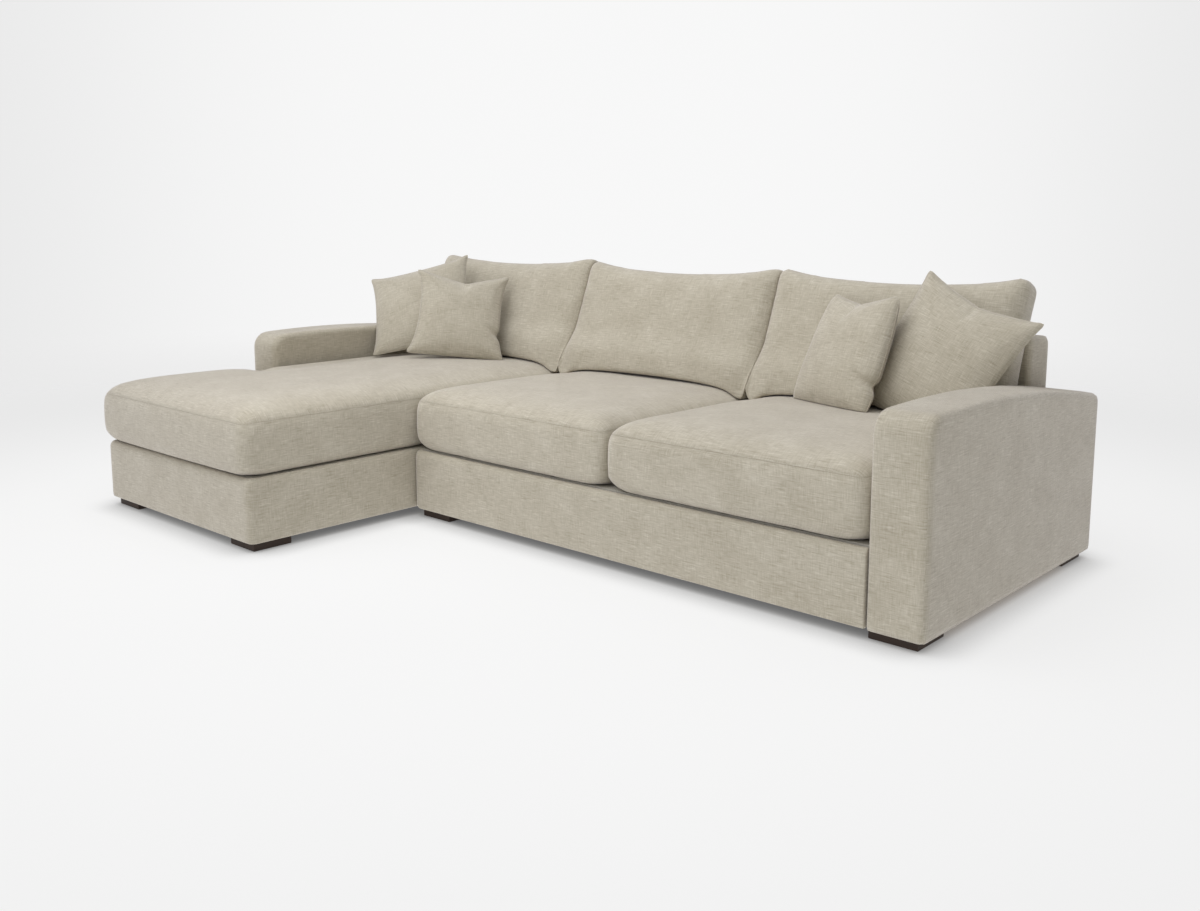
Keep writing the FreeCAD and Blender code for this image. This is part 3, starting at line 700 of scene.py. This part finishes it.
SEATS = [
    seat_cushion("chaise_cushion", voxel=0.016),
    seat_cushion("seat_cushion_left", voxel=0.014),
    seat_cushion("seat_cushion_right", voxel=0.014),
]
SEAT_TREES = [tree_of(obj) for obj in SEATS]


# Back cushions
BACK_LEAN = math.radians(21.6)
BACK_UP = np.array([0.0, math.sin(BACK_LEAN), math.cos(BACK_LEAN)])
BACK_OUT = np.array([0.0, -math.cos(BACK_LEAN), math.sin(BACK_LEAN)])

# How neighbours press each other flat, how the foot spreads, and how it follows the seat below it
SIDE_PUSH = 0.009
PUSH_REACH = (0.012, 0.085)
LOW_CORNER_PUSH = 0.025
LOW_CORNER_HEIGHT = 0.11
FOOT_SPREAD = 0.058
SPREAD_HEIGHT = 0.18
FOOT_FLATNESS = 0.12
FLAT_HEIGHT = 0.095
SEAT_GAP = 0.0015
SEAT_LOWEST = 0.3
SEAT_MOVES = (-0.02, 0.04)
FOLLOW_HEIGHTS = (0.02, 0.13)
FRONT_SHARES = (0.30, 0.70)


def back_cloth(points, normal, centre):
    along = points @ BACK_UP
    depth = points @ BACK_OUT
    facing = np.abs(normal @ BACK_OUT) > 0.6
    end = np.abs(normal[:, 0]) > 0.7
    return np.stack([np.where(end, depth, points[:, 0]), np.where(facing | end, along, depth)], 1)


def seat_height(tree, x, y):
    """Height of a seat cushion's top under a place, or 0 beside it."""
    spot = tree.ray_cast(Vector((x, y, 1.2)), Vector((0.0, 0.0, -1.0)))[0]
    return 0.0 if spot is None else max(spot.z, 0.0)


def back_cushion(node, seat_tree, meets):
    """meets says whether another back cushion stands to its left and to its right."""
    low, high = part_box(node)
    obj = new_object(node + "_linen", welded([node]))
    softened(obj, voxel=0.012, rounds=3)
    swell(obj, SEAT_FILL, SEAT_CAP, slack=0.015)
    points = fitted(points_of(obj), low, high, (0, 2))

    # Neighbouring back cushions are pushed flat against each other
    x = points[:, 0].copy()
    push = SIDE_PUSH + LOW_CORNER_PUSH * fade_out(low.z, low.z + LOW_CORNER_HEIGHT, points[:, 2])
    for side, touching in zip((low.x, high.x), meets):
        if touching:
            points[:, 0] += np.sign(side - x.mean()) * push * fade_out(*PUSH_REACH, np.abs(x - side))
    pressed(points, 0, low=low.x, high=high.x)

    # The foot of the cushion spreads and takes the form of the seat that it stands on
    above = np.maximum(points[:, 2] - low.z, 0.0)
    depth = points @ BACK_OUT
    forward = smooth_step(*FRONT_SHARES, (depth - depth.min()) / (depth.max() - depth.min()))
    points[:, 1] -= FOOT_SPREAD * forward * fade_out(0.0, SPREAD_HEIGHT, above)
    grown = smooth_step(0.0, FLAT_HEIGHT, above)
    points[:, 2] = low.z + above * (FOOT_FLATNESS + (1.0 - FOOT_FLATNESS) * grown)
    weight = fade_out(low.z + FOLLOW_HEIGHTS[0], low.z + FOLLOW_HEIGHTS[1], points[:, 2])
    for i in np.nonzero(weight > 0.0)[0]:
        top = seat_height(seat_tree, *points[i, :2])
        if top > SEAT_LOWEST:
            down = low.z - top - SEAT_GAP
            points[i, 2] -= weight[i] * min(max(down, SEAT_MOVES[0]), SEAT_MOVES[1])
    settled(points, ARM_TREES + BACK_TREES, SEAT_MARGIN)
    place_points(obj, points)
    apply_modifier(obj, "SUBSURF", levels=1, render_levels=1)
    lay_cloth(obj, back_cloth)
    return finished(obj, CUSHION_LINEN, node + "_body", [node])


BACKS = [
    back_cushion("back_cushion_left", SEAT_TREES[0], (False, True)),
    back_cushion("back_cushion_middle", SEAT_TREES[1], (True, True)),
    back_cushion("back_cushion_right", SEAT_TREES[2], (True, False)),
]
BACK_CUSHION_TREES = [tree_of(obj) for obj in BACKS]


# Scatter cushions. SEAT_CRESTS are the heights of the chaise cushion and of the seat cushions
SEAT_CRESTS = (0.5083, 0.4993)
LARGE_HALF = 0.0520
SMALL_LEFT_HALF = 0.0495
SMALL_RIGHT_HALF = 0.057
GRID_CELLS = 60
TIP_ROUNDING = 0.022
RIM_RADIUS = 0.0015
SCATTER_FILL = 4.0
SCATTER_CAP = 0.006


def scatter_axes(turn, lean, roll):
    yaw, tilt, spin = (math.radians(a) for a in (turn, lean, roll))
    out = np.array([math.sin(yaw) * math.cos(tilt), -math.cos(yaw) * math.cos(tilt), math.sin(tilt)])
    level = np.array([math.cos(yaw), math.sin(yaw), 0.0])
    rise = np.cross(out, level)
    right = level * math.cos(spin) + rise * math.sin(spin)
    up = rise * math.cos(spin) - level * math.sin(spin)
    return np.stack([right, up, out], 1)


def swelling(share, power):
    """Share of the full thickness, from 0 at a side's middle line to 1 at the side."""
    return (1.0 - np.abs(share) ** 2.2) ** power


def rounded_tips(s, t, tip):
    """Moves the tips of a square of shares from -1 to 1 onto arcs; tip is the arc's share."""
    u, v = (np.maximum((np.abs(k) - (1.0 - tip)) / tip, 0.0) for k in (s, t))
    in_tip = (u > 0.0) & (v > 0.0)
    pull = np.where(in_tip, np.maximum(u, v) / np.maximum(np.hypot(u, v), 1e-6), 1.0)
    round_s = np.where(u > 0.0, np.sign(s) * (1.0 - tip + tip * u * pull), s)
    round_t = np.where(v > 0.0, np.sign(t) * (1.0 - tip + tip * v * pull), t)
    return round_s, round_t


def cushion_grid(corners, half, drawn_in, edge_fill):
    """Two squares of cloth sewn round the rim: filled places, flat places, shares, faces and rim."""
    cells = GRID_CELLS
    share = np.linspace(-1.0, 1.0, cells + 1)
    share = 0.62 * share + 0.38 * np.sin(share * math.pi / 2.0)
    s, t = np.meshgrid(share, share, indexing="ij")
    half_width = abs(corners[2][0] - corners[3][0]) / 2.0
    a, b = ((k + 1.0) / 2.0 for k in rounded_tips(s, t, TIP_ROUNDING / half_width))
    corners = np.array(corners)
    flat = (
        corners[0] * ((1 - a) * (1 - b))[..., None]
        + corners[1] * (a * (1 - b))[..., None]
        + corners[2] * (a * b)[..., None]
        + corners[3] * ((1 - a) * b)[..., None]
    )
    left, right, bottom, top = drawn_in
    places = flat.copy()
    places[..., 0] -= np.where(s > 0.0, right, left) * s * np.abs(s) * (1.0 - np.abs(t) ** 2.6)
    places[..., 1] -= np.where(t > 0.0, top, bottom) * t * np.abs(t) * (1.0 - np.abs(s) ** 2.6)
    thick = half * swelling(s, edge_fill) * swelling(t, edge_fill)

    count = cells + 1
    front = np.arange(count * count).reshape(count, count)
    back = front.copy()
    inner = (slice(1, cells), slice(1, cells))
    back[inner] = count * count + np.arange((cells - 1) ** 2).reshape(cells - 1, cells - 1)

    def both(front_values, back_values, size):
        return np.concatenate([front_values.reshape(-1, size), back_values[inner].reshape(-1, size)])

    spots = both(np.dstack([places, thick]), np.dstack([places, -thick]), 3)
    shares = np.dstack([s, t])
    faces = []
    for i in range(cells):
        for j in range(cells):
            faces.append((front[i, j], front[i + 1, j], front[i + 1, j + 1], front[i, j + 1]))
            faces.append((back[i, j], back[i, j + 1], back[i + 1, j + 1], back[i + 1, j]))
    rim = [*front[:-1, 0], *front[-1, :-1], *front[:0:-1, -1], *front[0, :0:-1]]
    return spots, both(flat, flat, 2), both(shares, shares, 2), faces, rim


def chopped(local, shares, middle, depth, overlap):
    """A dent pressed into the top edge: its right half folds a little over its left half."""
    s, t = shares.T
    away = np.abs(s - middle) / np.where(s > middle, 1.0 - middle, 1.0 + middle)
    valley = np.clip(1.0 - np.sqrt(away**2 + 0.0012), 0.0, 1.0) ** 1.12
    local[:, 1] -= depth * valley * smooth_step(0.10, 0.88, t)
    fold = np.tanh((s - middle) / 0.045) * np.exp(-np.abs(s - middle) / 0.22) * smooth_step(0.30, 0.95, t)
    local[:, 2] += overlap * fold
    local[:, 1] -= 0.7 * overlap * fold
    crease = bump_at(s, middle + 0.05, 0.05) * smooth_step(0.45, 0.8, t) * fade_out(0.9, 1.0, t)
    local[:, 2] -= 0.010 * crease * np.sign(local[:, 2])


def pinched(local, shares, height, depth):
    """A short fold drawn in from the right side of the cushion."""
    s, t = shares.T
    local[:, 0] -= depth * bump_at(t, height, 0.09) * smooth_step(0.62, 1.0, s)
    crease = bump_at(t, height + 0.30 * (1.0 - s), 0.055) * smooth_step(0.50, 0.90, s)
    local[:, 2] *= 1.0 - 0.32 * crease


def scatter_cushion(node, half, corners, drawn_in, place, arm,
                    chop=None, pinch=None, others=(), edge_fill=0.58):
    """corners: lower left round to upper left, as they lie flat; drawn_in: left, right, bottom and top.

    place: mm from the arm, out from the back and up from the seat, then turn, lean and roll in degrees.
    """
    across, out, up, turn, lean, roll = place
    toward = 1.0 if arm == 0 else -1.0
    middle = np.array([
        ARM_FACES[arm] + toward * across / 1000.0,
        BACK_FACE - out / 1000.0,
        SEAT_CRESTS[arm] + up / 1000.0,
    ]) - SOFA_MIDDLE
    axes = scatter_axes(turn, lean, roll)
    places, cloth, shares, faces, rim_ids = cushion_grid(corners, half, drawn_in, edge_fill)
    mesh = bpy.data.meshes.new(node + "_linen")
    mesh.from_pydata(places @ axes.T + middle, [], faces)
    corner = np.zeros(len(mesh.loops), dtype=np.int32)
    mesh.loops.foreach_get("vertex_index", corner)
    layer = mesh.uv_layers.new(name="cloth")
    layer.data.foreach_set("uv", cloth[corner].astype(np.float32).ravel())
    obj = bpy.data.objects.new(node + "_linen", mesh)
    scene.collection.objects.link(obj)
    swell(obj, SCATTER_FILL, SCATTER_CAP, stiffness=12.0, bending=0.3, slack=0.02)
    local = (points_of(obj) - middle) @ axes
    if chop:
        chopped(local, shares, *chop)
    if pinch:
        pinched(local, shares, *pinch)
    points = local @ axes.T + middle
    settled(points, SEAT_TREES + BACK_CUSHION_TREES + ARM_TREES + list(others))
    place_points(obj, points)
    # Painted shade in a thin band just inside the rim, none on the rim itself
    rim = np.maximum(np.abs(shares[:, 0]), np.abs(shares[:, 1]))
    paint_seam_shade(obj, 0.16 * smooth_step(0.93, 0.965, rim) * fade_out(0.975, 0.995, rim))
    apply_modifier(obj, "SUBSURF", levels=1, render_levels=1)
    seam = points_of(obj)[rim_ids]
    seam_ridge(node + "_seam", seam, RIM_RADIUS, SCATTER_LINEN, node + "_body")
    return finished(obj, SCATTER_LINEN, node + "_body", [node])


large_left = scatter_cushion(
    "scatter_large_left", LARGE_HALF,
    ((-0.256, -0.218), (0.240, -0.240), (0.247, 0.254), (-0.238, 0.232)), (0.022, 0.026, 0.004, 0.026),
    (128.5, 383.2, 211.7, 31.9, 39.9, 16.4), 0)
scatter_cushion(
    "scatter_small_left", SMALL_LEFT_HALF,
    ((-0.217, -0.216), (0.218, -0.214), (0.216, 0.220), (-0.212, 0.216)), (0.034, 0.028, 0.0, 0.004),
    (376.9, 380.3, 192.4, 49.6, 32.4, -6.7), 0,
    chop=(0.04, 0.056, 0.016), pinch=(-0.45, 0.014), others=[tree_of(large_left)])
large_right = scatter_cushion(
    "scatter_large_right", LARGE_HALF,
    ((-0.242, -0.250), (0.218, -0.160), (0.247, 0.247), (-0.239, 0.250)), (0.012, 0.016, -0.028, 0.016),
    (191.7, 230.9, 179.3, -3.6, 24.0, -20.1), 1,
    chop=(-0.02, 0.028, 0.005))
scatter_cushion(
    "scatter_small_right", SMALL_RIGHT_HALF,
    ((-0.194, -0.222), (0.219, -0.230), (0.184, 0.206), (-0.162, 0.197)), (-0.008, -0.018, -0.005, 0.002),
    (539.9, 253.9, 190.9, -21.6, 23.1, 1.0), 1,
    chop=(-0.08, 0.038, 0.012), pinch=(-0.50, 0.018), others=[tree_of(large_right)], edge_fill=0.50)


# Floor and backdrop
BACKDROP_MIDDLE = (-0.674, 0.739, 0.0)
BACKDROP_FALL = 0.866
BACKDROP_EDGE = 0.82
BACKDROP_LIT = 0.935
# The painted pool of light and painted shadow on the floor, and the grey of the floor's glow, which lights
# the object though the floor is no lamp
POOL_LIT = 0.925
POOL_REACH = (1.6, 4.2)
FADE_REACH = (2.6, 8.0)
FLOOR_GLOW_SHARE = 0.78
FLOOR_GLOW_TONE = 1.10
SHADOW_REACH = 0.13
SHADOW_TONE = 0.10


def grey(level):
    return (level, level, level, 1.0)


def backdrop_tone(tree, direction):
    """The backdrop is lit in its middle and falls off to both sides."""
    level = vector_node(tree, "MULTIPLY", direction, (1.0, 1.0, 0.0)).outputs[0]
    unit = vector_node(tree, "NORMALIZE", level).outputs[0]
    nearness = vector_node(tree, "DOT_PRODUCT", unit, BACKDROP_MIDDLE).outputs["Value"]
    lit = map_range(tree, nearness, BACKDROP_FALL, 1.0, smooth=True)
    return mix_colour(tree, lit, grey(BACKDROP_EDGE), grey(BACKDROP_LIT))


def floor_material():
    """Pale floor with a painted pool of light and a painted close soft shadow, which fades into the
    backdrop; it also glows and so lights the object.
    """
    material, tree, shader = new_material("studio_floor")
    tree.nodes.remove(shader)
    place = add(tree, "ShaderNodeTexCoord").outputs["Object"]
    distance = vector_node(tree, "LENGTH", place).outputs["Value"]
    outside = map_range(tree, distance, *POOL_REACH, smooth=True)
    pool = mix_colour(tree, outside, grey(POOL_LIT), grey(BACKDROP_EDGE))
    # Painted shadow: ambient occlusion darkens the colour the camera sees close to the sofa
    openness = add(tree, "ShaderNodeAmbientOcclusion", {"Distance": SHADOW_REACH}, samples=12).outputs["AO"]
    seen_colour = mix_colour(tree, map_range(tree, openness, 0.0, 0.95), grey(SHADOW_TONE), pool)
    shown, _ = seen_directly(tree)
    # The floor glows: the camera sees the painted pool and shadow, all other rays get an even grey glow, a
    # little stronger far away
    glow = add(tree, "ShaderNodeEmission", {
        "Color": mix_colour(tree, shown, grey(FLOOR_GLOW_TONE), seen_colour),
        "Strength": map_range(tree, distance, 1.8, 6.0, 0.99, 1.04, smooth=True),
    })
    matt = add(tree, "ShaderNodeBsdfDiffuse", {"Color": pool})
    lit = add(tree, "ShaderNodeMixShader", {0: FLOOR_GLOW_SHARE, 1: matt.outputs[0], 2: glow.outputs[0]})
    clear = add(tree, "ShaderNodeBsdfTransparent")
    fade = math_node(tree, "MULTIPLY", map_range(tree, distance, *FADE_REACH, smooth=True), shown)
    faded = add(tree, "ShaderNodeMixShader", {0: fade, 1: lit.outputs[0], 2: clear.outputs[0]})
    feed(tree.nodes["Material Output"], {"Surface": faded.outputs[0]})
    return material


bpy.ops.object.select_all(action="DESELECT")
bpy.ops.mesh.primitive_plane_add(size=80.0, location=(0.0, 0.0, 0.0))
floor = bpy.context.object
floor.name = "studio_floor"
floor.data.materials.append(floor_material())


# Light: a dome that is darker to the right and brighter overhead, and three soft lamps
def studio_dome():
    world = bpy.data.worlds.new("studio")
    world.use_nodes = True
    scene.world = world
    tree = world.node_tree
    direction = add(tree, "ShaderNodeTexCoord").outputs["Generated"]
    parts = add(tree, "ShaderNodeSeparateXYZ", {0: direction})
    toward_right = map_range(tree, parts.outputs[0], 0.0, 1.0, 0.60, 0.05, smooth=True)
    overhead = map_range(tree, parts.outputs[2], 0.35, 0.90, 0.0, 0.38, smooth=True)
    dome = feed(tree.nodes["Background"], {
        "Color": (1.0, 1.0, 1.0, 1.0),
        "Strength": math_node(tree, "ADD", toward_right, overhead),
    })
    backdrop = add(tree, "ShaderNodeBackground", {"Color": backdrop_tone(tree, direction), "Strength": 1.0})
    shown, path = seen_directly(tree)
    shown = math_node(tree, "MAXIMUM", shown, path.outputs["Is Transmission Ray"])
    both = add(tree, "ShaderNodeMixShader", {0: shown, 1: dome.outputs[0], 2: backdrop.outputs[0]})
    feed(tree.nodes["World Output"], {"Surface": both.outputs[0]})


def soft_lamp(name, kind, energy, toward, place=(0.0, 0.0, 0.0), **settings):
    """toward points from what is lit to the lamp."""
    data = bpy.data.lights.new(name, kind)
    data.energy = energy
    for key, value in settings.items():
        setattr(data, key, value)
    lamp = bpy.data.objects.new(name, data)
    scene.collection.objects.link(lamp)
    lamp.location = place
    lamp.rotation_euler = Vector(toward).to_track_quat("Z", "Y").to_euler()


studio_dome()
soft_lamp("soft_key", "SUN", 0.40, (-0.30, -0.42, 0.86), angle=math.radians(50.0))
soft_lamp("overhead_softbox", "AREA", 27.5, (0.0, -0.20, 0.98), (-0.10, -0.80, 2.9),
          shape="RECTANGLE", size=3.4, size_y=2.2)
soft_lamp("left_fill", "AREA", 2.5, (0.90, -1.15, 0.62), (-0.30, -1.00, 1.30), shape="SQUARE", size=0.9)
scene.view_settings.view_transform = "Standard"
